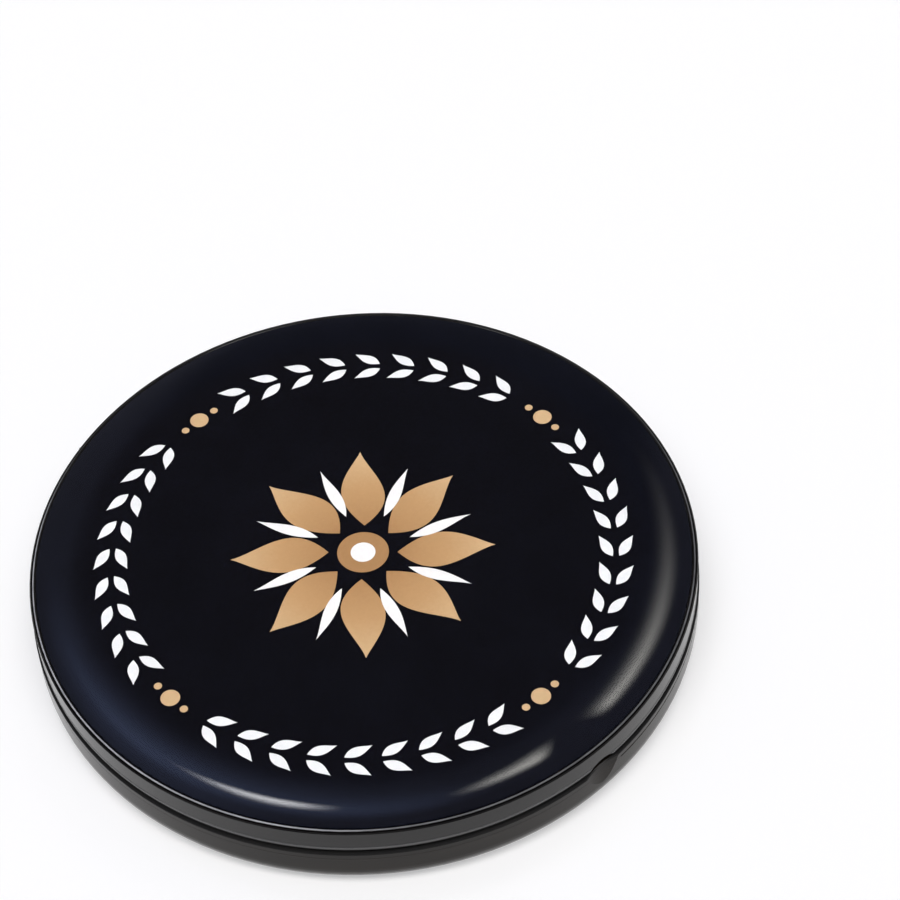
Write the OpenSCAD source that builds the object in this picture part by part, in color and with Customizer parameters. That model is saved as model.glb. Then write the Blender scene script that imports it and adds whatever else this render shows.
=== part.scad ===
// Round pocket compact with two glass mirrors, a pinned hinge and a magnetic closure.
// The origin is on the underside, at the centre of the base. +Z is up, the hinge is at +Y
// and the thumb notch at -Y. The compact is drawn closed.

/* [Casing] */
// Outer diameter of the base casing
body_d = 70; // [56:0.5:90]
// How much smaller the radius of the lid is than that of the base
lid_step = 0.15; // [0.05:0.05:0.4]
// Height of the base, from its underside to the face of its mirror frame
base_h = 5.9; // [5.3:0.1:9]
// Height of the lid, from the face of its mirror frame to its lip
lid_h = 3.05; // [2.85:0.1:5]
// Gap between the two frame faces when the compact is closed
parting_gap = 0.2; // [0.15:0.05:0.4]
// Side wall of both casings
side_wall = 1.3; // [1.1:0.1:1.5]
// Floor of the base casing
base_floor = 1.2; // [0.8:0.1:1.6]
// Roof of the lid casing, under the label
lid_roof = 0.6; // [0.5:0.05:0.9]
// Radius of the base's rounded lower edge
edge_r = 3; // [2:0.1:3.6]
// Diameter of the ring on the base's floor that carries the mirror tray
support_d = 36; // [20:1:50]
// Thickness of that ring
support_w = 1; // [0.6:0.1:2]

/* [Lip of the lid] */
// Width of the raised lip round the label
lip_w = 0.38; // [0.25:0.01:0.5]
// Width of the fine groove outside the lip
lip_groove_w = 0.13; // [0.08:0.01:0.2]
// Depth of that groove
lip_groove_h = 0.35; // [0.2:0.05:0.5]
// How far the shoulder outside the groove lies below the lip
shoulder_drop = 0.12; // [0.05:0.01:0.2]

/* [Mirror frames] */
// Thickness of the base frame's flange
base_flange = 0.95; // [0.7:0.05:1.2]
// Thickness of the lid frame's flange
lid_flange = 0.65; // [0.5:0.05:0.8]
// Wall of the mirror recess and of the skirt that locates the frame
frame_wall = 0.9; // [0.6:0.1:1.1]
// Floor under the base mirror
base_tray = 0.6; // [0.4:0.05:0.9]
// Floor behind the lid mirror
lid_tray = 0.4; // [0.3:0.05:0.5]
// Length of the base frame's skirt
base_skirt_h = 1.4; // [0.8:0.1:1.6]
// Length of the lid frame's skirt
lid_skirt_h = 0.8; // [0.5:0.1:0.9]
// Clearance between a frame and its casing
frame_gap = 0.05; // [0.02:0.01:0.1]
// How far the outer part of a frame's face falls away, which opens the parting line at the edge
rim_drop = 0.08; // [0.05:0.01:0.15]
// Width of the slope from a frame's face down to its glass
rim_slope = 0.4; // [0.2:0.05:0.5]
// Bevel on the frames' outer edges
frame_bevel = 0.12; // [0.05:0.01:0.2]
// Bevel on the lid frame's back edge, which shows as a fine strip
strip_bevel = 0.12; // [0.05:0.01:0.2]
// Bevel on the other edges that meet where a frame lies on its casing
seam_bevel = 0.02; // [0.01:0.01:0.06]
// Height of the open seam under the base frame
seam_h = 0.18; // [0.1:0.01:0.3]
// Depth of that seam
seam_depth = 0.35; // [0.1:0.05:0.6]

/* [Mirrors] */
// Width of the rim from the outline of the base to the glass
rim_w = 5; // [4.8:0.1:8]
// Thickness of the glass
mirror_t = 0.8; // [0.7:0.05:0.95]
// How deep the glass lies below the face of the base's frame
base_sink = 1; // [0.5:0.05:1.1]
// How deep the glass lies below the face of the lid's frame
lid_sink = 0.45; // [0.3:0.05:0.5]
// Ground bevel round the glass
mirror_bevel = 0.35; // [0.2:0.05:0.5]
// Clearance round the glass
mirror_gap = 0.1; // [0.05:0.05:0.2]
// How far the adhesive pad stays inside the edge of the glass
pad_margin = 2; // [0.5:0.5:8]
// Thickness of that pad
pad_t = 0.2; // [0.1:0.05:0.25]

/* [Magnets] */
// Diameter of each magnet
magnet_d = 2.8; // [2:0.1:2.9]
// Thickness of each magnet
magnet_t = 1; // [0.8:0.05:1.1]
// How deep a magnet lies below the face of its frame
magnet_sink = 0.05; // [0.02:0.01:0.15]
// Clearance round a magnet
magnet_gap = 0.03; // [0.02:0.01:0.06]
// Land between a magnet's pocket and the slope down to the glass
magnet_rim = 0.1; // [0.05:0.01:0.15]
// Wall of the boss that holds a magnet
magnet_wall = 0.5; // [0.3:0.05:0.7]

/* [Hinge] */
// How far the knuckles stay inside the outline of the base
hinge_inset = 0.15; // [0.05:0.05:0.4]
// Diameter of the knuckles
knuckle_d = 3; // [2.6:0.1:3.2]
// Width over all three knuckles
hinge_w = 21; // [16:0.5:26]
// Width of the lid's middle knuckle
lid_knuckle_w = 9; // [6:0.5:11]
// Side clearance between two knuckles
knuckle_gap = 0.12; // [0.05:0.01:0.2]
// Clearance round a knuckle in the other half
swing_gap = 0.25; // [0.15:0.05:0.4]
// Diameter of the hinge pin
pin_d = 1.2; // [0.8:0.1:1.4]
// How far each end of the pin lies inside the hinge
pin_inset = 0.4; // [0:0.1:1]
// Radial clearance of the pin in the lid's knuckle
pin_run_gap = 0.05; // [0.02:0.01:0.08]
// Radial clearance of the pin in the base's knuckles
pin_hold_gap = 0.01; // [0.01:0.01:0.02]
// Slope of the bevelled backs that stop the lid, from the parting plane
stop_slope = 57; // [50:0.5:65]

/* [Label and dome] */
// Clearance of the label and the dome inside the lip
label_gap = 0.05; // [0.02:0.01:0.1]
// Thickness of the printed label
label_t = 0.15; // [0.1:0.05:0.2]
// Rise of the dome above the lip
dome_rise = 1.1; // [0.6:0.05:1.6]
// Reach of the dome's curve in from its edge: the larger, the rounder the dome
dome_edge = 3; // [2:0.1:4]

/* [Thumb notch] */
// Radius of the base's notch, seen from above
base_notch_r = 8; // [5:0.1:12]
// Depth of the notch in the base, at the parting line
base_notch_in = 0.45; // [0.3:0.05:1]
// Height over which the base's notch runs out
base_notch_h = 2.6; // [2:0.1:3.2]
// Radius of the lid's notch, seen from above
lid_notch_r = 3.9; // [3:0.1:8]
// Depth of the notch in the lid, at the parting line
lid_notch_in = 0.8; // [0.5:0.05:1]
// Height over which the lid's notch runs out
lid_notch_h = 1.1; // [0.9:0.05:2.1]

/* [Hidden] */

$fn = 96;
// Overrun of a cut past the face it opens
over = 0.5;
// Steps of a rounded edge and of the dome's profile
edge_steps = 12;
dome_steps = 22;
// Length of the dome's curve in dome_edge, after which its crown is flat
crown_share = 6;

body_r = body_d / 2;
mirror_r = body_r - rim_w;
lid_r = body_r - lid_step;
inner_r = body_r - side_wall;
lip_z = base_h + parting_gap + lid_h;

// Heights in the base, from the frame face down
base_flange_z = base_h - base_flange;
base_mirror_z = base_h - base_sink - mirror_t;
base_seat_z = base_mirror_z - pad_t;
base_tray_z = base_seat_z - base_tray;
base_skirt_z = base_flange_z - base_skirt_h;

// Heights in the lid, from the frame face up
lid_face_z = base_h + parting_gap;
lid_flange_z = lid_face_z + lid_flange;
lid_mirror_z = lid_face_z + lid_sink;
lid_pad_z = lid_mirror_z + mirror_t;
lid_seat_z = lid_pad_z + pad_t;
lid_tray_z = lid_seat_z + lid_tray;
lid_skirt_z = lid_flange_z + lid_skirt_h;
roof_z = lid_tray_z + frame_gap;
pan_z = roof_z + lid_roof;
dome_z = pan_z + label_t;

// Radii of the lid's top, from the rim inwards
lip_out_r = lid_r - frame_bevel - lip_groove_w;
pan_r = lip_out_r - lip_w;
label_r = pan_r - label_gap;

// Radii of a mirror frame
recess_r = mirror_r + mirror_gap;
skirt_r = inner_r - frame_gap;

magnet_pocket_r = magnet_d / 2 + magnet_gap;
magnet_y = -(recess_r + rim_slope + magnet_rim + magnet_pocket_r);
magnet_pocket_h = magnet_t + magnet_sink;

knuckle_r = knuckle_d / 2;
hinge_y = body_r - hinge_inset - knuckle_r;
hinge_z = base_h + parting_gap / 2;
pin_r = pin_d / 2;
pin_l = hinge_w - 2 * pin_inset;
// Edge of the hinge's cut-out in the frames, and its half width
hinge_room_y = hinge_y - knuckle_r - frame_gap - knuckle_gap;
hinge_room_x = hinge_w / 2 + knuckle_gap;
// Where the base's knuckles start, beside the lid's
side_knuckle_x = lid_knuckle_w / 2 + knuckle_gap;

// Points along an arc about c
function arc(c, r, from, to, steps) =
    [for (i = [0:steps]) let (a = from + (to - from) * i / steps)
        [c[0] + r * cos(a), c[1] + r * sin(a)]];

// Profile of the dome's top, from the edge in. Poured resin stands like a wide drop: its slope
// is steepest at the edge, dies away over a few times dome_edge and leaves a flat crown.
function dome_top() =
    let (edge_slope = 2 * asin(dome_rise / (2 * dome_edge)))
    concat(
        [for (i = [0:dome_steps])
            let (x = crown_share * dome_edge * pow(i / dome_steps, 2),
                 slope = 4 * atan(tan(edge_slope / 4) * exp(-x / dome_edge)))
            [label_r - x, lip_z + dome_rise - 2 * dome_edge * sin(slope / 2)]],
        [[0, lip_z + dome_rise]]);

// Cylinder along X through the hinge axis, from x0 to x1
module hinge_rod(r, x0, x1) {
    translate([x0, hinge_y, hinge_z]) rotate([0, 90, 0]) cylinder(h = x1 - x0, r = r);
}

// Wedge behind the hinge axis that lets the two halves open: up = 1 for above, -1 for below.
// It holds everything between the parting plane and the plane that slopes away from it.
module stop_wedge(up) {
    reach = body_r;
    translate([-hinge_room_x, hinge_y, hinge_z])
        rotate([90, 0, 90])
            linear_extrude(height = 2 * hinge_room_x)
                polygon([[0, 0], [reach, -up * over], [reach, up * reach * tan(stop_slope)]]);
}

// Tilted round cutter of the base's notch, which runs out downwards
module base_notch() {
    translate([0, base_notch_in - body_r, base_h])
        rotate([-atan(base_notch_in / base_notch_h), 0, 0])
            translate([0, -base_notch_r, 0])
                cylinder(h = body_r, r = base_notch_r, center = true);
}

// Tilted round cutter of the lid's notch, which runs out upwards
module lid_notch() {
    translate([0, lid_notch_in - body_r, lid_face_z])
        rotate([atan(lid_notch_in / lid_notch_h), 0, 0])
            translate([0, -lid_notch_r, 0])
                cylinder(h = body_r, r = lid_notch_r, center = true);
}

// Room for the hinge in a mirror frame, from z0 to z1
module hinge_room(z0, z1) {
    translate([-hinge_room_x, hinge_room_y, z0 - over])
        cube([2 * hinge_room_x, body_r, z1 - z0 + 2 * over]);
}

// Block behind the mirror frame that joins a knuckle to its casing, from x0 to x1.
// The child is the casing's full outer form, and the block stays inside it.
module knuckle_web(x0, x1, z0, z1) {
    intersection() {
        translate([x0, hinge_y - knuckle_r, z0]) cube([x1 - x0, body_r, z1 - z0]);
        children();
    }
}

// Outline of the base, from the middle of its underside to its rim
function base_outline() = concat(
    [[0, 0]],
    arc([body_r - edge_r, edge_r], edge_r, -90, 0, edge_steps),
    [[body_r, base_flange_z - seam_bevel], [body_r - seam_bevel, base_flange_z]]);

// The base's full outer form, up to the hinge axis
module base_form() {
    rotate_extrude() polygon(concat(base_outline(), [[lid_r, base_flange_z], [lid_r, hinge_z], [0, hinge_z]]));
}

module base_shell() {
    inner_edge_r = edge_r - side_wall;
    color([0.09, 0.09, 0.1]) difference() {
        union() {
            rotate_extrude() polygon(concat(
                base_outline(),
                [[inner_r, base_flange_z]],
                arc([inner_r - inner_edge_r, base_floor + inner_edge_r], inner_edge_r, 0, -90, edge_steps),
                [[0, base_floor]]));
            translate([0, 0, base_floor / 2]) difference() {
                cylinder(h = base_tray_z - frame_gap - base_floor / 2, d = support_d);
                translate([0, 0, -over])
                    cylinder(h = base_tray_z + over, d = support_d - 2 * support_w);
            }
            for (side = [0, 1]) mirror([side, 0, 0]) {
                knuckle_web(side_knuckle_x, hinge_w / 2, 0, hinge_z) base_form();
                hinge_rod(knuckle_r, side_knuckle_x, hinge_w / 2);
            }
        }
        hinge_rod(pin_r + pin_hold_gap, -hinge_w / 2 - over, hinge_w / 2 + over);
        hinge_rod(knuckle_r + swing_gap, -side_knuckle_x, side_knuckle_x);
        difference() {
            stop_wedge(-1);
            for (side = [0, 1]) mirror([side, 0, 0])
                hinge_rod(knuckle_r, side_knuckle_x, hinge_room_x + over);
        }
        base_notch();
        open_seam();
    }
}

// The seam under the base frame's flange stands open on the right of the notch
module open_seam() {
    seam_x = sqrt(2 * base_notch_r * base_notch_in - pow(base_notch_in, 2));
    intersection() {
        translate([0, 0, base_flange_z - seam_h]) difference() {
            cylinder(h = seam_h, r = body_r + over);
            translate([0, 0, -over])
                cylinder(h = seam_h + 2 * over, r = body_r - seam_depth);
        }
        translate([seam_x, -body_d, 0]) cube([body_d, body_d + hinge_room_y, lip_z]);
    }
}

module lid_shell() {
    rim_z = lid_flange_z;
    color([0.09, 0.09, 0.1]) difference() {
        union() {
            rotate_extrude() polygon(concat(
                [[0, roof_z], [inner_r, roof_z], [inner_r, rim_z],
                 [lid_r - seam_bevel, rim_z], [lid_r, rim_z + seam_bevel],
                 [lid_r, lip_z - shoulder_drop - frame_bevel], [lid_r - frame_bevel, lip_z - shoulder_drop],
                 [lip_out_r, lip_z - shoulder_drop - lip_groove_h]],
                arc([lip_out_r - lip_w / 2, lip_z - lip_w / 2], lip_w / 2, 0, 180, edge_steps),
                [[pan_r, pan_z], [0, pan_z]]));
            knuckle_web(-lid_knuckle_w / 2, lid_knuckle_w / 2, hinge_z, roof_z + lid_roof / 2)
                cylinder(h = lip_z, r = lid_r);
            hinge_rod(knuckle_r, -lid_knuckle_w / 2, lid_knuckle_w / 2);
        }
        hinge_rod(pin_r + pin_run_gap, -hinge_w / 2 - over, hinge_w / 2 + over);
        for (side = [0, 1]) mirror([side, 0, 0])
            hinge_rod(knuckle_r + swing_gap, lid_knuckle_w / 2, hinge_room_x);
        difference() {
            stop_wedge(1);
            hinge_rod(knuckle_r, -lid_knuckle_w / 2, lid_knuckle_w / 2);
        }
        lid_notch();
    }
}

// Mirror frame: face, flange, recess with its seat and floor, skirt and magnet boss.
// All heights are measured along z from the face, and dir turns them up or down.
// The child is cut off: it is the frame's part of the thumb notch.
module mirror_frame(face_z, dir, out_r, flange, sink, seat, tray, skirt_h, back_bevel) {
    boss_w = 2 * (magnet_pocket_r + magnet_wall);
    boss_h = magnet_pocket_h + tray;
    difference() {
        translate([0, 0, face_z]) mirror([0, 0, dir > 0 ? 0 : 1]) {
            difference() {
                union() {
                    rotate_extrude() polygon([
                        [0, seat], [recess_r, seat], [recess_r, sink], [recess_r + rim_slope, 0],
                        [inner_r, 0], [out_r - frame_bevel, rim_drop], [out_r, rim_drop + frame_bevel],
                        [out_r, flange - back_bevel], [out_r - back_bevel, flange],
                        [skirt_r, flange], [skirt_r, flange + skirt_h],
                        [skirt_r - frame_wall, flange + skirt_h], [skirt_r - frame_wall, flange],
                        [recess_r + frame_wall, flange], [recess_r + frame_wall, seat + tray],
                        [0, seat + tray]]);
                    intersection() {
                        translate([-boss_w / 2, -body_r, flange / 2])
                            cube([boss_w, body_r, boss_h - flange / 2]);
                        difference() {
                            cylinder(h = boss_h, r = skirt_r);
                            translate([0, 0, -over]) cylinder(h = boss_h + 2 * over, r = recess_r);
                        }
                    }
                }
                translate([0, magnet_y, -over]) cylinder(h = magnet_pocket_h + over, r = magnet_pocket_r);
            }
        }
        hinge_room(face_z - base_h, face_z + base_h);
        children();
    }
}

module base_mirror_frame() {
    color([0.12, 0.12, 0.14])
        mirror_frame(base_h, -1, body_r, base_flange, base_sink, base_h - base_seat_z, base_tray, base_skirt_h,
                     seam_bevel)
            base_notch();
}

module lid_mirror_frame() {
    color([0.12, 0.12, 0.14])
        mirror_frame(lid_face_z, 1, lid_r, lid_flange, lid_sink, lid_seat_z - lid_face_z, lid_tray, lid_skirt_h,
                     strip_bevel)
            lid_notch();
}

// Glass disc with a ground bevel round its front face; its back is at z = 0
module mirror_glass() {
    rotate_extrude() polygon([[0, 0], [mirror_r, 0], [mirror_r, mirror_t - mirror_bevel],
                              [mirror_r - mirror_bevel, mirror_t], [0, mirror_t]]);
}

module base_mirror() {
    color([0.75, 0.77, 0.8]) translate([0, 0, base_mirror_z]) mirror_glass();
}

module lid_mirror() {
    color([0.75, 0.77, 0.8]) translate([0, 0, lid_pad_z]) mirror([0, 0, 1]) mirror_glass();
}

module base_mirror_pad() {
    color([0.85, 0.85, 0.8]) translate([0, 0, base_seat_z]) cylinder(h = pad_t, r = mirror_r - pad_margin);
}

module lid_mirror_pad() {
    color([0.85, 0.85, 0.8]) translate([0, 0, lid_pad_z]) cylinder(h = pad_t, r = mirror_r - pad_margin);
}

module base_magnet() {
    color([0.75, 0.75, 0.76]) translate([0, magnet_y, base_h - magnet_pocket_h])
        cylinder(h = magnet_t, d = magnet_d);
}

module lid_magnet() {
    color([0.75, 0.75, 0.76]) translate([0, magnet_y, lid_face_z + magnet_sink])
        cylinder(h = magnet_t, d = magnet_d);
}

module printed_label() {
    color([0.05, 0.05, 0.07]) translate([0, 0, pan_z]) cylinder(h = label_t, r = label_r);
}

module clear_dome() {
    color([0.8, 0.85, 0.9, 0.3])
        rotate_extrude() polygon(concat([[0, dome_z], [label_r, dome_z]], dome_top()));
}

module hinge_pin() {
    color([0.7, 0.7, 0.7]) hinge_rod(pin_r, -pin_l / 2, pin_l / 2);
}

base_shell();
base_mirror_frame();
base_mirror_pad();
base_mirror();
base_magnet();
lid_shell();
lid_mirror_frame();
lid_mirror_pad();
lid_mirror();
lid_magnet();
printed_label();
clear_dome();
hinge_pin();
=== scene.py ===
import math

import bpy
from mathutils import Matrix, Vector
from mathutils.geometry import delaunay_2d_cdt


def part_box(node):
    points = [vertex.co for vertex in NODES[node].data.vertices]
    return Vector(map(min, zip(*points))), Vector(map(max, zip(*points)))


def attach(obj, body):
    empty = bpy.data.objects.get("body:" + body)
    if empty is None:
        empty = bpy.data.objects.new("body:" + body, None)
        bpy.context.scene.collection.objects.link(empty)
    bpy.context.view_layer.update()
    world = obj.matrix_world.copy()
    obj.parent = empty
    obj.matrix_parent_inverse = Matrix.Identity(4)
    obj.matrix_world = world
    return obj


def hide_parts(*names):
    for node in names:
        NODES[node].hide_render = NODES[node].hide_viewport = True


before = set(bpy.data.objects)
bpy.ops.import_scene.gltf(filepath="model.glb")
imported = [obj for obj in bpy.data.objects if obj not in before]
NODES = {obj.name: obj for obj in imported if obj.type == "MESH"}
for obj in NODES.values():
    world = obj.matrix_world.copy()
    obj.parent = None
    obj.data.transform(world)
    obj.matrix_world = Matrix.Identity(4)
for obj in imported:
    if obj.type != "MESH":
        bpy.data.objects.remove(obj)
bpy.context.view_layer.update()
MM = 0.001

# The photograph's frame, in pixels, and the fitted camera
IMAGE_SIDE_PX = 900
FOCAL_PX = 3000
SENSOR_MM = 36
AIM_PX = (363.2, 553.6)
CAMERA_AZIMUTH = -38.1
CAMERA_ELEVATION = 50.73
CAMERA_ROLL = 5.76
CAMERA_DISTANCE = 313 * MM
CAMERA_CLIP = (10 * MM, 20)

# Heights and radii read from the frame
FLOOR_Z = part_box("base_shell")[0].z
LIP_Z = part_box("lid_shell")[1].z
LABEL_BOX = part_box("printed_label")
LABEL_R = LABEL_BOX[1].x
DOME_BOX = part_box("clear_dome")
DOME_RISE = DOME_BOX[1].z - LIP_Z
MIRROR_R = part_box("base_mirror")[1].x
CASE_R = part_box("base_shell")[1].x
BASE_FRAME_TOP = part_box("base_mirror_frame")[1].z
# Top of the lid frame's flange, which shows between the lid and the parting line
LID_FLANGE = 0.65 * MM
LID_FRAME_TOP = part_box("lid_mirror_frame")[0].z + LID_FLANGE
# Reach of the dome's curve in from its edge, as in the CAD model
DOME_EDGE = 3 * MM
# Points round the dome and the label
CIRCLE_STEPS = 360

# Painted highlight on the lip's crest: the azimuth of the side on which it is brightest, and of the side
# on which it shows at all, each with the distances that way between which it sets in, in label radii
HIGHLIGHT_SIDE = 172
HIGHLIGHT_REACH = (0.4, 0.85)
FRONT_SIDE = -130
FRONT_REACH = (-0.6, -0.1)
# How softly the bands of painted highlight and painted shade on the plastic end
BAND_SOFT = 0.04 * MM


def direction(azimuth, elevation):
    """The unit vector at an azimuth from +X towards +Y and an elevation, both in degrees."""
    a, e = math.radians(azimuth), math.radians(elevation)
    return Vector((math.cos(a) * math.cos(e), math.sin(a) * math.cos(e), math.sin(e)))


def times(factor, values):
    return tuple(factor * v for v in values)


def make_camera():
    """The camera of the closed view. AIM_PX is where the middle of the lid's lip plane falls."""
    a, e, r = (math.radians(v) for v in (CAMERA_AZIMUTH, CAMERA_ELEVATION, CAMERA_ROLL))
    back = Vector((math.sin(a) * math.cos(e), -math.cos(a) * math.cos(e), math.sin(e)))
    right = Vector((math.cos(a), math.sin(a), 0))
    up = back.cross(right)
    level = Matrix((right, up, -back))
    roll = Matrix(((math.cos(r), -math.sin(r), 0), (math.sin(r), math.cos(r), 0), (0, 0, 1)))
    half = IMAGE_SIDE_PX / 2
    aim = Vector(((AIM_PX[0] - half) / FOCAL_PX, -(AIM_PX[1] - half) / FOCAL_PX, 1))
    turn = Vector((0, 0, 1)).rotation_difference(aim).to_matrix()
    rows = turn @ roll @ level
    data = bpy.data.cameras.new("photo_camera")
    data.sensor_width = SENSOR_MM
    data.lens = FOCAL_PX / IMAGE_SIDE_PX * SENSOR_MM
    data.clip_start, data.clip_end = CAMERA_CLIP
    cam = bpy.data.objects.new("photo_camera", data)
    bpy.context.scene.collection.objects.link(cam)
    axes = Matrix((rows[0], rows[1], -rows[2])).transposed()
    cam.matrix_world = Matrix.Translation(Vector((0, 0, LIP_Z)) + back * CAMERA_DISTANCE) @ axes.to_4x4()
    bpy.context.scene.camera = cam


make_camera()


class Graph:
    """A material's node tree with short calls for the nodes used below."""

    def __init__(self, name):
        self.material = bpy.data.materials.new(name)
        self.material.use_nodes = True
        self.tree = self.material.node_tree
        self.tree.nodes.clear()
        self.out = self.add("ShaderNodeOutputMaterial")

    def add(self, kind, **settings):
        n = self.tree.nodes.new(kind)
        for key, value in settings.items():
            setattr(n, key, value)
        return n

    def link(self, a, b):
        self.tree.links.new(a, b)

    def put(self, socket, value):
        """Links an output into a socket, or sets the socket's own value."""
        if isinstance(value, bpy.types.NodeSocket):
            self.link(value, socket)
        else:
            socket.default_value = value

    def math(self, op, a, b=None):
        n = self.add("ShaderNodeMath", operation=op)
        self.put(n.inputs[0], a)
        if b is not None:
            self.put(n.inputs[1], b)
        return n.outputs[0]

    def product(self, first, *others):
        for other in others:
            first = self.math("MULTIPLY", first, other)
        return first

    def dot(self, vector, fixed):
        n = self.add("ShaderNodeVectorMath", operation="DOT_PRODUCT")
        self.link(vector, n.inputs[0])
        n.inputs[1].default_value = fixed
        return n.outputs["Value"]

    def span(self, value, lo, hi, to_lo=0.0, to_hi=1.0, smooth=True):
        """Carries lo to to_lo and hi to to_hi, and holds those two outside."""
        n = self.add("ShaderNodeMapRange", interpolation_type="SMOOTHSTEP" if smooth else "LINEAR")
        self.put(n.inputs["Value"], value)
        self.put(n.inputs["From Min"], lo)
        self.put(n.inputs["From Max"], hi)
        self.put(n.inputs["To Min"], to_lo)
        self.put(n.inputs["To Max"], to_hi)
        return n.outputs[0]

    def window(self, value, lo, hi, soft):
        """1 between lo and hi, falling to 0 over soft on each side."""
        rise = self.span(value, lo - soft, lo)
        fall = self.span(value, hi, hi + soft, 1.0, 0.0)
        return self.product(rise, fall)

    def noise(self, vector, scale, detail=2.0, rough=0.5):
        n = self.add("ShaderNodeTexNoise")
        self.put(n.inputs["Vector"], vector)
        n.inputs["Scale"].default_value = scale
        n.inputs["Detail"].default_value = detail
        n.inputs["Roughness"].default_value = rough
        return n.outputs["Fac"]

    def stretched(self, coord, scale, turn=0.0):
        """Coordinates turned about the axis and scaled, which draw a noise out into lines."""
        m = self.add("ShaderNodeMapping")
        m.inputs["Rotation"].default_value = (0, 0, turn)
        m.inputs["Scale"].default_value = scale
        self.link(coord, m.inputs["Vector"])
        return m.outputs[0]

    def scratches(self, coord, scale, stretch, turn):
        """Fine straight hairlines along one direction, as heights from 0 to 1."""
        lines = self.noise(self.stretched(coord, (1, stretch, 1), turn), scale, detail=1.0)
        return self.span(lines, 0.62, 0.75)

    def ramp(self, fac, stops):
        n = self.add("ShaderNodeValToRGB")
        while len(n.color_ramp.elements) < len(stops):
            n.color_ramp.elements.new(1.0)
        for e, (pos, colour) in zip(n.color_ramp.elements, stops):
            e.position = pos
            e.color = (*colour, 1)
        self.link(fac, n.inputs[0])
        return n.outputs[0]

    def mix(self, fac, a, b):
        """Mixes two colours. The node's sockets for colours come after those for numbers and vectors."""
        n = self.add("ShaderNodeMix", data_type="RGBA")
        first, second, mixed = n.inputs[6], n.inputs[7], n.outputs[2]
        self.put(n.inputs["Factor"], fac)
        self.put(first, (*a, 1) if isinstance(a, tuple) else a)
        self.put(second, (*b, 1) if isinstance(b, tuple) else b)
        return mixed

    def bump(self, height, distance, strength, normal=None):
        n = self.add("ShaderNodeBump")
        n.inputs["Strength"].default_value = strength
        n.inputs["Distance"].default_value = distance
        self.link(height, n.inputs["Height"])
        if normal is not None:
            self.link(normal, n.inputs["Normal"])
        return n.outputs[0]

    def coord(self):
        return self.add("ShaderNodeTexCoord").outputs["Object"]

    def place(self):
        """The point's coordinates on the object, its distance from the axis and its height."""
        coord = self.coord()
        parts = self.add("ShaderNodeSeparateXYZ")
        self.link(coord, parts.inputs[0])
        x, y, z = parts.outputs
        r = self.math("SQRT", self.math("ADD", self.product(x, x), self.product(y, y)))
        return coord, r, z

    def principled(self, **values):
        p = self.add("ShaderNodeBsdfPrincipled")
        for key, value in values.items():
            socket = p.inputs[key.replace("_", " ")]
            self.put(socket, (*value, 1) if isinstance(value, tuple) else value)
        self.link(p.outputs[0], self.out.inputs["Surface"])
        return p

    def join(self, kind, *outputs):
        """Joins shaders in a node of this kind, which then makes the surface."""
        n = self.add(kind)
        for output, socket in zip(outputs, n.inputs):
            self.link(output, socket)
        self.link(n.outputs[0], self.out.inputs["Surface"])


def gloss_plastic(name, base, specular, crest_highlight=None):
    """Polished moulded plastic: slight flow ripple, a soft change of gloss, level marks from the mould's
    turning and faint hairlines. The last argument gives the radii, the height and the grey of an edge
    that is rougher and carries a painted highlight, brightest on one side."""
    g = Graph(name)
    coord, r, z = g.place()
    handled = g.noise(coord, 90, detail=4.0, rough=0.6)
    roughness = g.span(handled, 0.35, 0.7, to_lo=0.1, to_hi=0.2)
    level = g.stretched(coord, (0.03, 0.03, 1))
    marks = g.span(g.noise(level, 2600, rough=0.6), 0.35, 0.7)
    pale = times(2.6, base)
    colour = g.mix(g.product(g.math("ADD", handled, marks), 0.5), base, pale)
    if crest_highlight:
        r_lo, r_hi, crest_z, grey = crest_highlight
        depth = 0.08 * MM
        dull = 0.45
        # The crest's lighter grey is a painted highlight: strongest on one side, patchy, and left off the
        # far side
        side = g.span(g.dot(coord, direction(HIGHLIGHT_SIDE, 0)), *times(LABEL_R, HIGHLIGHT_REACH), to_lo=0.3)
        front = g.span(g.dot(coord, direction(FRONT_SIDE, 0)), *times(LABEL_R, FRONT_REACH))
        painted_light_amount = g.span(g.noise(coord, 700, detail=3.0), 0.3, 0.6, to_lo=0.7)
        on_crest = g.product(g.window(r, r_lo, r_hi, BAND_SOFT), g.span(z, crest_z - depth, crest_z))
        roughness = g.math("MAXIMUM", roughness, g.product(on_crest, dull))
        colour = g.mix(g.product(on_crest, painted_light_amount, g.product(side, front)), colour, grey)
    lines = g.math("ADD", g.scratches(coord, 260, 14, 0.4), g.scratches(coord, 300, 16, 1.9))
    scratched = g.bump(lines, distance=0.002 * MM, strength=0.25)
    flow = g.noise(coord, 45, detail=1.0)
    normal = g.bump(flow, distance=0.02 * MM, strength=0.6, normal=scratched)
    g.principled(Base_Color=colour, Roughness=roughness, Normal=normal, Specular_IOR_Level=specular)
    return g.material


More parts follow.
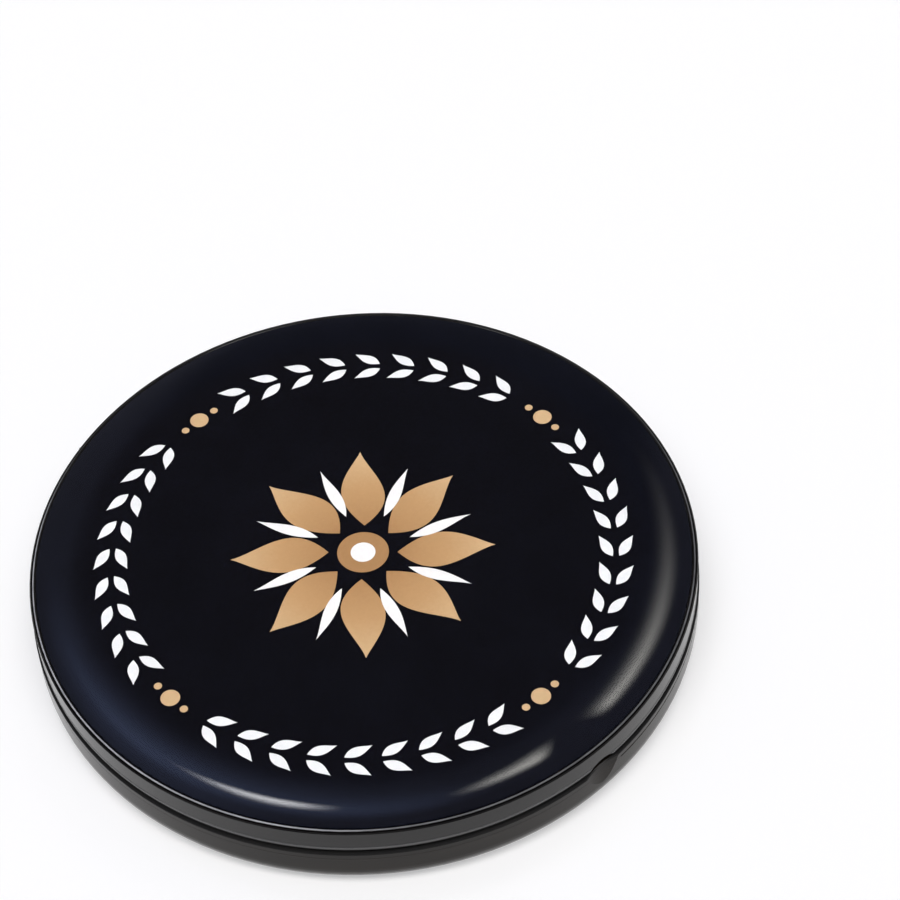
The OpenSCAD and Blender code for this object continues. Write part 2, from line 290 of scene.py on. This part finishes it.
def satin_plastic(name, base, specular, rim):
    """Moulded plastic with a very fine, even grain. rim gives the heights, the grey and the roughness of
    a band of the outer edge that is rougher than the rest, with a painted grey: painted shade on the base
    frame's top edge, a painted highlight on the lid frame's flange."""
    g = Graph(name)
    coord, r, z = g.place()
    z_lo, z_hi, grey, dull = rim
    grain = g.noise(coord, 4200)
    patch = g.noise(coord, 120, detail=3.0)
    outer = g.span(r, CASE_R - 0.5 * MM, CASE_R - 0.3 * MM)
    on_rim = g.product(g.window(z, z_lo, z_hi, BAND_SOFT), outer)
    painted_light_amount = g.product(on_rim, g.span(patch, 0.2, 0.7, to_lo=0.75))
    pale = times(1.3, base)
    # The rim band's grey is painted: painted shade on the base frame's top edge, a painted highlight on
    # the lid frame's flange
    colour = g.mix(painted_light_amount, g.mix(patch, base, pale), grey)
    roughness = g.span(patch, 0.3, 0.7, to_lo=0.13, to_hi=0.22)
    roughness = g.math("MAXIMUM", roughness, g.product(on_rim, dull))
    normal = g.bump(grain, distance=0.004 * MM, strength=0.5)
    g.principled(Base_Color=colour, Roughness=roughness, Normal=normal, Specular_IOR_Level=specular)
    return g.material


def mirror_glass():
    """Silvered glass: a clear reflection with faint smears and a ground, frosted edge."""
    g = Graph("mirror_glass")
    coord, r, _ = g.place()
    silver, ground = (0.84, 0.83, 0.82), (0.93, 0.95, 0.94)
    edge = g.span(r, MIRROR_R - 0.42 * MM, MIRROR_R - 0.36 * MM)
    grain = g.noise(coord, 3000, detail=3.0)
    smear = g.span(g.noise(coord, 60, detail=4.0, rough=0.6), 0.55, 0.8, to_lo=0.0, to_hi=0.02)
    frost = g.product(edge, g.span(grain, 0.2, 0.8, to_lo=0.3, to_hi=0.5))
    g.principled(Base_Color=g.mix(edge, silver, ground), Roughness=g.math("ADD", smear, frost),
                 Metallic=g.math("SUBTRACT", 1.0, g.product(edge, 0.7)),
                 Normal=g.bump(g.product(edge, grain), distance=0.01 * MM, strength=0.5))
    return g.material


def magnet_nickel():
    """Nickel plating with a soft, finely mottled sheen."""
    g = Graph("magnet_nickel")
    speck = g.noise(g.coord(), 1200, detail=3.0)
    g.principled(Base_Color=g.mix(speck, (0.66, 0.65, 0.62), (0.84, 0.83, 0.8)), Metallic=1.0,
                 Roughness=g.span(speck, 0.3, 0.7, to_lo=0.4, to_hi=0.55),
                 Normal=g.bump(speck, distance=0.002 * MM, strength=0.4))
    return g.material


def pin_steel():
    """Drawn wire: fine lines along its length."""
    g = Graph("pin_steel")
    lines = g.noise(g.stretched(g.coord(), (0.02, 1, 1)), 9000)
    g.principled(Base_Color=g.mix(lines, (0.42, 0.41, 0.4), (0.6, 0.59, 0.57)), Metallic=1.0,
                 Roughness=g.span(lines, 0.3, 0.7, to_lo=0.25, to_hi=0.4),
                 Normal=g.bump(lines, distance=0.004 * MM, strength=0.6))
    return g.material


def foam_pad():
    """White foam tape: small open cells."""
    g = Graph("adhesive_pad")
    cells = g.noise(g.coord(), 1800, detail=4.0, rough=0.7)
    g.principled(Base_Color=g.mix(cells, (0.66, 0.65, 0.6), (0.86, 0.85, 0.8)), Roughness=0.85,
                 Normal=g.bump(cells, distance=0.03 * MM, strength=0.8))
    return g.material


def dome_resin():
    """Clear poured resin. Light passes straight through it to the label, as through any clear film."""
    g = Graph("dome_resin")
    ripple = g.noise(g.coord(), 30, detail=1.0)
    resin = g.principled(Base_Color=(1.0, 1.0, 1.0), Transmission_Weight=1.0, Roughness=0.0, IOR=1.5,
                         Normal=g.bump(ripple, distance=0.01 * MM, strength=0.5))
    shadow = g.add("ShaderNodeLightPath").outputs["Is Shadow Ray"]
    clear = g.add("ShaderNodeBsdfTransparent")
    g.join("ShaderNodeMixShader", shadow, resin.outputs[0], clear.outputs[0])
    return g.material


def print_grain(g, coord):
    """The fine dot grain of the label's inks and of its bare vinyl."""
    return g.noise(coord, 2600, rough=0.6)


def label_ink():
    """Blue-black printed ground."""
    g = Graph("label_ink")
    coord = g.coord()
    cloud = g.noise(coord, 120, detail=4.0, rough=0.6)
    tone = g.math("ADD", g.product(print_grain(g, coord), 0.5), g.product(cloud, 0.5))
    colour = g.ramp(tone, [(0.35, (0.0013, 0.0015, 0.0034)), (0.65, (0.0029, 0.0033, 0.0066))])
    g.principled(Base_Color=colour, Roughness=0.6, Specular_IOR_Level=0.0)
    return g.material


def label_gold():
    """Printed gold: a warm ground that lightens outwards."""
    g = Graph("label_gold")
    coord, r, _ = g.place()
    outwards = g.span(r, 3.5 * MM, 14 * MM, smooth=False)
    tone = g.math("ADD", g.product(outwards, 0.85), g.product(print_grain(g, coord), 0.15))
    colour = g.ramp(tone, [(0.0, (0.36, 0.20, 0.088)), (0.5, (0.49, 0.295, 0.14)),
                           (1.0, (0.66, 0.45, 0.25))])
    g.principled(Base_Color=colour, Roughness=0.5, Specular_IOR_Level=0.0)
    return g.material


def label_white():
    """Bare white vinyl, left unprinted."""
    g = Graph("label_white")
    grain = print_grain(g, g.coord())
    g.principled(Base_Color=g.mix(grain, (0.80, 0.80, 0.81), (0.90, 0.90, 0.89)), Roughness=0.5,
                 Specular_IOR_Level=0.0)
    return g.material


# Painted highlight on the lip's crest, painted shade on the base frame's top edge and a painted highlight
# on the lid frame's flange; each of these bands is also rougher
LIP_CREST_HIGHLIGHT = (LABEL_R + 0.26 * MM, LABEL_R + 0.37 * MM, LIP_Z - 0.02 * MM, (0.42, 0.42, 0.43))
BASE_RIM_SHADE = (BASE_FRAME_TOP - 0.35 * MM, BASE_FRAME_TOP, (0.004, 0.004, 0.004), 0.7)
LID_RIM_HIGHLIGHT = (LID_FRAME_TOP - 0.3 * MM, LID_FRAME_TOP, (0.12, 0.118, 0.115), 0.4)
# Each material with the pieces that wear it
MATERIALS = [
    (gloss_plastic("case_plastic", (0.0085, 0.0065, 0.0045), 0.2), ["base_shell"]),
    (gloss_plastic("lid_plastic", (0.0055, 0.005, 0.0045), 0.29, LIP_CREST_HIGHLIGHT), ["lid_shell"]),
    (satin_plastic("base_frame_plastic", (0.011, 0.0085, 0.006), 0.2, BASE_RIM_SHADE), ["base_mirror_frame"]),
    (satin_plastic("lid_frame_plastic", (0.0065, 0.0065, 0.007), 0.3, LID_RIM_HIGHLIGHT), ["lid_mirror_frame"]),
    (mirror_glass(), ["base_mirror", "lid_mirror"]),
    (foam_pad(), ["base_mirror_pad", "lid_mirror_pad"]),
    (magnet_nickel(), ["base_magnet", "lid_magnet"]),
    (pin_steel(), ["hinge_pin"]),
]
for material, wearers in MATERIALS:
    for name in wearers:
        NODES[name].data.materials.clear()
        NODES[name].data.materials.append(material)


def add_piece(name, mesh, body, replaced):
    obj = bpy.data.objects.new(name, mesh)
    bpy.context.scene.collection.objects.link(obj)
    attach(obj, body)
    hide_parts(replaced)


def ring(radius, count):
    angles = [2 * math.pi * i / count for i in range(count)]
    return [(radius * math.cos(a), radius * math.sin(a)) for a in angles]


def make_dome():
    """The clear dome as a fine revolved mesh. Its foot reaches a hair into the label, to which it is
    bonded."""
    steps = 90
    bond = 0.02 * MM
    sharp_angle = 50
    foot = DOME_BOX[0].z - bond
    crown = LIP_Z + DOME_RISE
    half_slope = math.asin(DOME_RISE / (2 * DOME_EDGE))
    profile = [(LABEL_R, foot)]
    for i in range(steps):
        x = LABEL_R * (i / steps) ** 2
        slope = 4 * math.atan(math.tan(half_slope / 2) * math.exp(-x / DOME_EDGE))
        profile.append((LABEL_R - x, crown - 2 * DOME_EDGE * math.sin(slope / 2)))
    count = CIRCLE_STEPS
    sides = [(i, (i + 1) % count) for i in range(count)]
    verts = [(x, y, z) for r, z in profile for x, y in ring(r, count)]
    last = len(verts) - count
    top, bottom = len(verts), len(verts) + 1
    verts += [(0, 0, crown), (0, 0, foot)]
    faces = [(k + i, k + j, k + count + j, k + count + i)
             for k in range(0, last, count) for i, j in sides]
    for i, j in sides:
        faces += [(last + i, last + j, top), (j, i, bottom)]
    mesh = bpy.data.meshes.new("dome")
    mesh.from_pydata(verts, [], faces)
    mesh.materials.append(dome_resin())
    mesh.shade_smooth()
    mesh.set_sharp_from_angle(angle=math.radians(sharp_angle))
    add_piece("dome", mesh, "lid", "clear_dome")


# The printed ornament: each shape is an outline in mm about the label's middle and an ink
INK, GOLD, WHITE = range(3)


def moved(outline, radius, angle, turn):
    """An outline drawn about the origin, turned and set at a radius and angle of the label."""
    c, s = math.cos(turn), math.sin(turn)
    x0, y0 = radius * math.cos(angle), radius * math.sin(angle)
    return [(x0 + x * c - y * s, y0 + x * s + y * c) for x, y in outline]


def leaf(root, tip, width, bend):
    """A pointed leaf along +X from root to tip, bent sideways by bend."""
    count = 20
    sides = []
    for side in (-1, 1):
        points = []
        for i in range(count + 1):
            t = i / count
            half = width / 2 * math.sin(math.pi * t ** 0.8) ** 1.2
            points.append((root + (tip - root) * t, side * half + bend * math.sin(math.pi * t / 2) ** 2))
        sides.append(points)
    return sides[0][:-1] + sides[1][:0:-1]


def rosette():
    """Gold petals with narrow white ones between them, round a gold and white boss."""
    petals = 8
    gold_petal = leaf(root=3.6, tip=13.8, width=4.6, bend=0.9)
    white_petal = leaf(root=5.2, tip=12.2, width=1.3, bend=0.4)
    shapes = []
    for i in range(petals):
        a = 2 * math.pi * i / petals
        shapes.append((moved(gold_petal, 0, 0, a), GOLD))
        shapes.append((moved(white_petal, 0, 0, a + math.pi / petals), WHITE))
    shapes.append((ring(radius=2.7, count=48), GOLD))
    shapes.append((ring(radius=1.3, count=36), WHITE))
    return shapes


def wreath():
    """Four arcs of paired white leaves, with three gold dots between two arcs."""
    radius = 26.3
    arcs, pairs = 4, 9
    pair_step = math.radians(8.2)
    dot, small_dot = ring(radius=1.0, count=28), ring(radius=0.42, count=20)
    dot_step = math.radians(4.4)
    # How far the leaves of a pair lie from the stem, ahead of the pair's place and turned outwards
    beside = 1.15
    ahead = math.radians(1.3)
    splay = 0.55
    shapes = []
    for k in range(arcs):
        middle = math.pi / 4 + k * 2 * math.pi / arcs
        for i in range(pairs):
            a = middle + (i - (pairs - 1) / 2) * pair_step
            for side in (1, -1):
                small = leaf(root=-1.55, tip=1.55, width=1.15, bend=0.2 * side)
                turn = a + math.pi / 2 - side * splay
                shapes.append((moved(small, radius + beside * side, a + ahead, turn), WHITE))
        a = middle + math.pi / arcs
        shapes.append((moved(dot, radius, a, 0), GOLD))
        for side in (1, -1):
            shapes.append((moved(small_dot, radius, a + side * dot_step, 0), GOLD))
    return shapes


def make_label():
    """The label as a flat inlay: one closed disc whose top is divided along the outlines of the print."""
    count = CIRCLE_STEPS
    low, high = LABEL_BOX[0].z, LABEL_BOX[1].z
    shapes = [(ring(LABEL_R / MM, count), INK)] + rosette() + wreath()
    points, loops = [], []
    for outline, _ in shapes:
        start = len(points)
        points += [Vector(p) for p in outline]
        loops.append(list(range(start, len(points))))
    only_inside, epsilon, with_sources = 1, 1e-6, True
    cut = delaunay_2d_cdt(points, [], loops, only_inside, epsilon, with_sources)
    verts, _, faces, from_verts, _, from_faces = cut
    # The rim's outline is the first loop, so its points are the first ones
    rim = {source: i for i, sources in enumerate(from_verts) for source in sources if source < count}
    top = [(v.x * MM, v.y * MM, high) for v in verts]
    foot = [(points[i].x * MM, points[i].y * MM, low) for i in range(count)]
    all_faces = [tuple(f) for f in faces]
    inks = [max((shapes[i][1] for i in sources), default=INK) for sources in from_faces]
    first = len(top)
    for i in range(count):
        j = (i + 1) % count
        all_faces.append((rim[i], first + i, first + j, rim[j]))
        inks.append(WHITE)
    all_faces.append(tuple(first + i for i in reversed(range(count))))
    inks.append(WHITE)
    mesh = bpy.data.meshes.new("label")
    mesh.from_pydata(top + foot, [], all_faces)
    for material in (label_ink(), label_gold(), label_white()):
        mesh.materials.append(material)
    mesh.polygons.foreach_set("material_index", inks)
    add_piece("label", mesh, "lid", "printed_label")


make_dome()
make_label()


def make_floor():
    """White floor: most of its white comes from the light, so that the object's shadow shows, and the
    rest is a faint glow that the camera, mirrors and glass see alike."""
    half = 3.0
    glow = 0.45
    white = (0.6, 0.59, 0.578)
    mesh = bpy.data.meshes.new("floor")
    corners = [(-half, -half), (half, -half), (half, half), (-half, half)]
    mesh.from_pydata([(x, y, FLOOR_Z) for x, y in corners], [], [(0, 1, 2, 3)])
    floor = bpy.data.objects.new("floor", mesh)
    bpy.context.scene.collection.objects.link(floor)
    g = Graph("floor_white")
    matt = g.principled(Base_Color=white, Roughness=0.9, Specular_IOR_Level=0.0)
    path = g.add("ShaderNodeLightPath")
    seen = g.math("MAXIMUM", path.outputs["Is Camera Ray"], path.outputs["Is Glossy Ray"])
    seen = g.math("MAXIMUM", seen, path.outputs["Is Transmission Ray"])
    light = g.add("ShaderNodeEmission")
    g.link(g.product(seen, glow), light.inputs["Strength"])
    g.join("ShaderNodeAddShader", matt.outputs[0], light.outputs[0])
    mesh.materials.append(g.material)


make_floor()

# Soft boxes of the studio: the directions of the corners (azimuth from +X towards +Y, elevation,
# in degrees), how soft the side after each corner is, in degrees, the elevations between which the
# box fades in and the power of that fade, its brightness and its colour. Only the last box and the
# colours were set one by one: the other boxes' numbers were found by a program that fitted the
# highlights and the haze on the dome to the photograph's
WHITE_LIGHT = (1.0, 1.0, 1.0)
WARM_LIGHT = (1.02, 1.0, 0.94)
BLUE_LIGHT = (0.4, 0.53, 1.0)
EVEN = (0, 1)
SOFT_BOXES = [
    # Right, low
    ([(7.5, 62.8), (6.5, 57.4), (7.1, 55.2), (25.4, 35.7), (28.4, 37), (23.8, 54.7), (20.1, 62.7)],
     (8.6, 9.9, 11.7, 7.6, 10.1, 10, 2.6), (26, 61.9), 4, 6.6, WARM_LIGHT),
    # Right, high
    ([(22.4, 67.2), (6.5, 70.5), (12.9, 74), (19.4, 76.4), (25.5, 75.1)],
     (2.2, 7, 7, 5.4, 6.8), EVEN, 1, 7.2, WARM_LIGHT),
    # Back, high
    ([(89, 66.7), (72.6, 74.5), (76.3, 75.9), (89.7, 73.2), (90.3, 67.6)],
     (3.7, 5, 7, 7, 6), EVEN, 1, 16, WHITE_LIGHT),
    # A faint blue haze from behind, and its higher part
    ([(85.1, 45.3), (106.6, 49.1), (143.9, 68.6), (74, 59.2)],
     (25, 30, 28, 15), EVEN, 1, 0.66, BLUE_LIGHT),
    ([(90, 52.6), (101.9, 61.5), (93.6, 83), (17, 74.8), (41.1, 73.4)],
     (6.6, 15.7, 15.5, 22, 21.5), EVEN, 1, 0.99, BLUE_LIGHT),
    # The large box in front that lights the object most
    ([(172, 50), (-82, 50), (-82, 75), (172, 75)],
     (4, 12, 3, 12), EVEN, 1, 10.3, WHITE_LIGHT),
]
# The ceiling's grey, and its darker part behind the object: the corners, how soft each side is and
# the share of the grey left there
CEILING = (0.15, 0.155, 0.2)
DARK_CORNERS = [(17, 1), (60, 1), (66, 40), (64, 63), (38, 63), (24, 45)]
DARK_SOFT = (1, 10, 10, 14, 14, 10)
DARK_SHARE = 0.45
# Round one direction in that part the grey is warmer: the angles from it, in degrees, at which that
# starts and is full
WARM_PATCH = (54, 50.7)
WARM_REACH = (16, 7)
WARM_GREY = (0.074, 0.066, 0.058)
# The white wall for mirrors and glass: the sine of the elevation of its top, at the sides and in
# front, the front's azimuth, how far towards it the top starts to rise and is full (the cosines),
# and the share of its height at which it starts to fade upwards
WALL_TOP = 0.04
FRONT_WALL_TOP = 0.36
FRONT = -70
WALL_REACH = (0.5, 0.8)
WALL_FADE = 0.7


class WorldGraph(Graph):
    """The world's node tree, with the same short calls."""

    def __init__(self, name):
        world = bpy.data.worlds.new(name)
        bpy.context.scene.world = world
        world.use_nodes = True
        self.tree = world.node_tree
        self.tree.nodes.clear()
        self.out = self.add("ShaderNodeOutputWorld")

    def soft_box(self, way, corners, soft):
        """1 inside the box and 0 outside: each side is a plane through the object and two corners."""
        points = [direction(*c) for c in corners]
        middle = sum(points, Vector()).normalized()
        sides = []
        for i, softness in enumerate(soft):
            normal = points[i].cross(points[(i + 1) % len(points)]).normalized()
            if normal.dot(middle) < 0:
                normal.negate()
            half = math.radians(softness) / 2
            sides.append(self.span(self.dot(way, normal), -half, half))
        return self.product(*sides)

    def lit(self, level, amount, colour):
        """The level with an amount of a coloured light added."""
        scale = self.add("ShaderNodeVectorMath", operation="SCALE")
        scale.inputs[0].default_value = colour
        self.link(amount, scale.inputs["Scale"])
        total = self.add("ShaderNodeVectorMath", operation="ADD")
        self.link(level, total.inputs[0])
        self.link(scale.outputs[0], total.inputs[1])
        return total.outputs[0]


def make_world():
    """The studio round the object: a dark ceiling with soft boxes over a white wall low down. The wall
    is there for the camera, mirrors and glass, and doesn't light the object."""
    g = WorldGraph("studio")
    way = g.add("ShaderNodeTexCoord").outputs["Generated"]
    parts = g.add("ShaderNodeSeparateXYZ")
    g.link(way, parts.inputs[0])
    height = parts.outputs[2]
    warm_start, warm_full = (math.cos(math.radians(v)) for v in WARM_REACH)
    warm = g.span(g.dot(way, direction(*WARM_PATCH)), warm_start, warm_full)
    dark = g.soft_box(way, DARK_CORNERS, DARK_SOFT)
    level = g.mix(dark, CEILING, times(DARK_SHARE, CEILING))
    level = g.mix(warm, level, WARM_GREY)
    for corners, soft, fade, bend, power, colour in SOFT_BOXES:
        low, high = (math.sin(math.radians(e)) for e in fade)
        fade_in = g.math("POWER", g.span(height, low, high, smooth=False), bend)
        level = g.lit(level, g.product(g.soft_box(way, corners, soft), fade_in, power), colour)
    path = g.add("ShaderNodeLightPath")
    mirrored = g.math("MAXIMUM", path.outputs["Is Glossy Ray"], path.outputs["Is Transmission Ray"])
    wall_top = g.span(g.dot(way, direction(FRONT, 0)), *WALL_REACH, WALL_TOP, FRONT_WALL_TOP)
    wall = g.product(mirrored, g.span(height, g.product(wall_top, WALL_FADE), wall_top, 1.0, 0.0))
    seen = g.math("MAXIMUM", path.outputs["Is Camera Ray"], wall)
    studio = g.add("ShaderNodeBackground")
    g.link(level, studio.inputs["Color"])
    white = g.add("ShaderNodeBackground")
    white.inputs["Color"].default_value = (1, 1, 1, 1)
    g.join("ShaderNodeMixShader", seen, studio.outputs[0], white.outputs[0])


make_world()

bpy.context.scene.view_settings.view_transform = "Standard"
